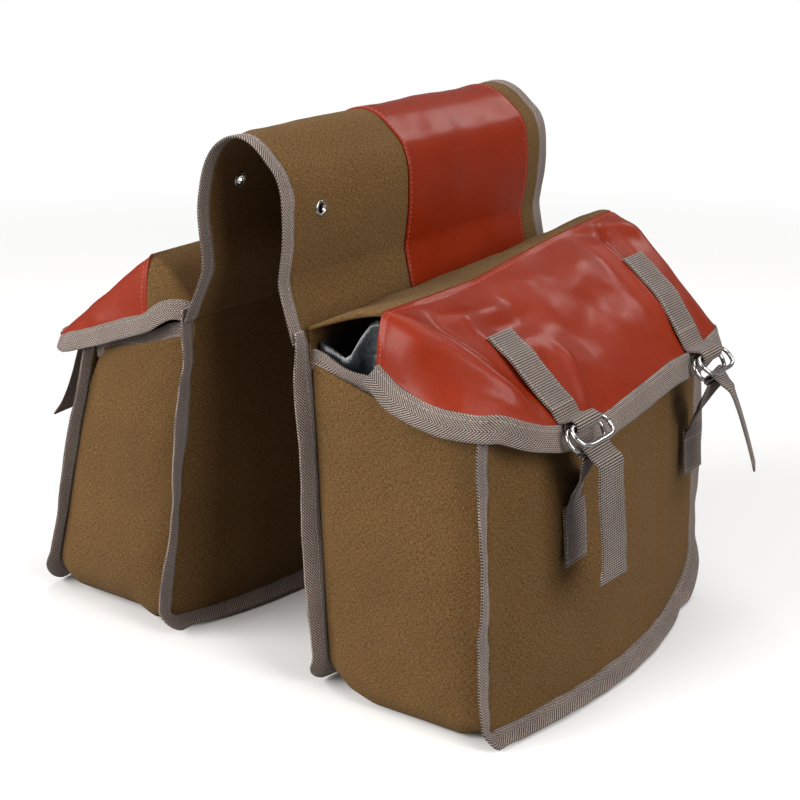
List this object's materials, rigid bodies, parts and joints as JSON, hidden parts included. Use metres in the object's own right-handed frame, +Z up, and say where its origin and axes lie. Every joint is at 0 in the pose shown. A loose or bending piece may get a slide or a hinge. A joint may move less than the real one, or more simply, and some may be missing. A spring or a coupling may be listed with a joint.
{
  "type": "saddle bag",
  "caption": "Canvas and leather saddle bag for a bicycle rack: two flapped pockets joined by a yoke, closed by webbing straps through wire rings.",
  "frame": {"origin": "on the floor under the middle of the bag's box", "axes": "+X from the left pocket to the right one, +Y along the bicycle from the eyelet end to the plain end, +Z up"},
  "size_m": [0.5114, 0.3368, 0.4012],
  "materials": {
    "canvas": "olive-brown waxed canvas with a fine weave",
    "leather": "terracotta leather with a soft sheen",
    "webbing": "taupe herringbone binding tape and ribbed strap webbing",
    "lining": "dark blue-grey coated lining",
    "metal": "bright nickel-plated wire rings and eyelets"
  },
  "bodies": {
    "yoke": {"yoke_canvas": "canvas", "yoke_leather": "leather", "yoke_near_tape": "webbing", "yoke_far_tape": "webbing", "right_eyelet": "metal", "right_eyelet_washer": "metal", "left_eyelet": "metal", "left_eyelet_washer": "metal"},
    "right_pocket": {"right_back_panel": "canvas", "right_front_panel": "canvas", "right_gusset": "canvas", "right_lining": "lining", "right_back_seam_tape": "webbing", "right_front_seam_tape": "webbing", "right_mouth_tape": "webbing", "right_near_lower_strap": "webbing", "right_far_lower_strap": "webbing"},
    "right_flap": {"right_flap_canvas": "canvas", "right_flap_leather": "leather", "right_flap_tape": "webbing", "right_near_upper_strap": "webbing", "right_far_upper_strap": "webbing"},
    "right_near_rings": {"right_near_upper_ring": "metal", "right_near_lower_ring": "metal"},
    "right_far_rings": {"right_far_upper_ring": "metal", "right_far_lower_ring": "metal"},
    "left_pocket": {"left_back_panel": "canvas", "left_front_panel": "canvas", "left_gusset": "canvas", "left_lining": "lining", "left_back_seam_tape": "webbing", "left_front_seam_tape": "webbing", "left_mouth_tape": "webbing", "left_near_lower_strap": "webbing", "left_far_lower_strap": "webbing"},
    "left_flap": {"left_flap_canvas": "canvas", "left_flap_leather": "leather", "left_flap_tape": "webbing", "left_near_upper_strap": "webbing", "left_far_upper_strap": "webbing"},
    "left_near_rings": {"left_near_upper_ring": "metal", "left_near_lower_ring": "metal"},
    "left_far_rings": {"left_far_upper_ring": "metal", "left_far_lower_ring": "metal"}
  },
  "joints": [
    {"name": "right_pocket_swing", "type": "hinge", "parent": "yoke", "child": "right_pocket", "pos_m": [0.04898, 0, 0.271], "axis": [0, -1, 0], "range_deg": [0, 12]},
    {"name": "right_flap_open", "type": "hinge", "parent": "right_pocket", "child": "right_flap", "pos_m": [0.05648, 0, 0.2745], "axis": [0, -1, 0], "range_deg": [0, 60], "deforming": ["right_near_lower_strap", "right_far_lower_strap"]},
    {"name": "right_near_rings_lift", "type": "hinge", "parent": "right_flap", "child": "right_near_rings", "pos_m": [0.22598, -0.083, 0.221], "axis": [0, -1, 0], "range_deg": [0, 75], "deforming": ["right_near_lower_strap"]},
    {"name": "right_far_rings_lift", "type": "hinge", "parent": "right_flap", "child": "right_far_rings", "pos_m": [0.22598, 0.103, 0.221], "axis": [0, -1, 0], "range_deg": [0, 75], "deforming": ["right_far_lower_strap"]},
    {"name": "left_pocket_swing", "type": "hinge", "parent": "yoke", "child": "left_pocket", "pos_m": [-0.05302, 0, 0.271], "axis": [0, 1, 0], "range_deg": [0, 12]},
    {"name": "left_flap_open", "type": "hinge", "parent": "left_pocket", "child": "left_flap", "pos_m": [-0.06052, 0, 0.2745], "axis": [0, 1, 0], "range_deg": [0, 60], "deforming": ["left_near_lower_strap", "left_far_lower_strap"]},
    {"name": "left_near_rings_lift", "type": "hinge", "parent": "left_flap", "child": "left_near_rings", "pos_m": [-0.20802, -0.083, 0.229], "axis": [0, 1, 0], "range_deg": [0, 75], "deforming": ["left_near_lower_strap"]},
    {"name": "left_far_rings_lift", "type": "hinge", "parent": "left_flap", "child": "left_far_rings", "pos_m": [-0.20802, 0.103, 0.229], "axis": [0, 1, 0], "range_deg": [0, 75], "deforming": ["left_far_lower_strap"]}
  ]
}
